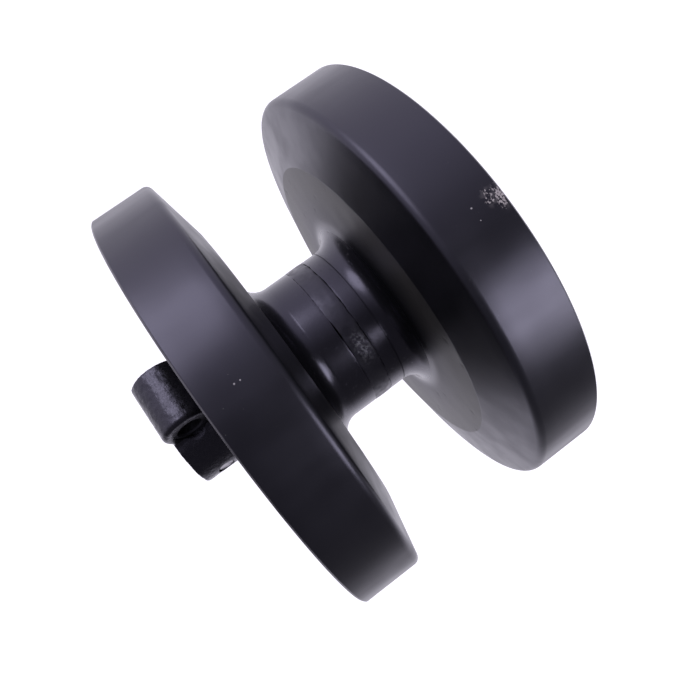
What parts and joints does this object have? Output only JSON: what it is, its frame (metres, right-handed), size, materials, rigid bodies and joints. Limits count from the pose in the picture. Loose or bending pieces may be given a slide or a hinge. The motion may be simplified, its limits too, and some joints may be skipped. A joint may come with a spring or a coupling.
{
  "type": "track roller",
  "caption": "Bottom roller for a rubber-tracked machine: two wide treads on a welded hub, turning on a fixed shaft held by forged bolt-on collars.",
  "frame": {"origin": "on the shaft's axis, midway between the two treads", "axes": "+Y along the shaft towards the oil plug's end, +Z towards the track frame that the collars bolt up to, +X forward"},
  "size_m": [0.25, 0.2144, 0.25],
  "materials": {
    "black_paint": "satin",
    "steel": "ground",
    "bronze": "machined",
    "rubber": "matte",
    "copper": "soft"
  },
  "bodies": {
    "axle": {"left_collar": "black_paint", "left_collar_seal_ring": "steel", "left_collar_seal_rubber": "rubber", "left_lock_pin": "black_paint", "left_shaft_o_ring": "rubber", "oil_plug": "steel", "oil_plug_washer": "copper", "right_collar": "black_paint", "right_collar_seal_ring": "steel", "right_collar_seal_rubber": "rubber", "right_lock_pin": "black_paint", "right_shaft_o_ring": "rubber", "shaft": "steel"},
    "roller": {"hub_weld": "black_paint", "left_bushing": "bronze", "left_roller_half": "black_paint", "left_roller_seal_ring": "steel", "left_roller_seal_rubber": "rubber", "right_bushing": "bronze", "right_roller_half": "black_paint", "right_roller_seal_ring": "steel", "right_roller_seal_rubber": "rubber"}
  },
  "joints": [
    {"name": "roller_spin", "type": "hinge", "parent": "axle", "child": "roller", "pos_m": [0, 0, 0], "axis": [0, 1, 0], "continuous": true}
  ]
}
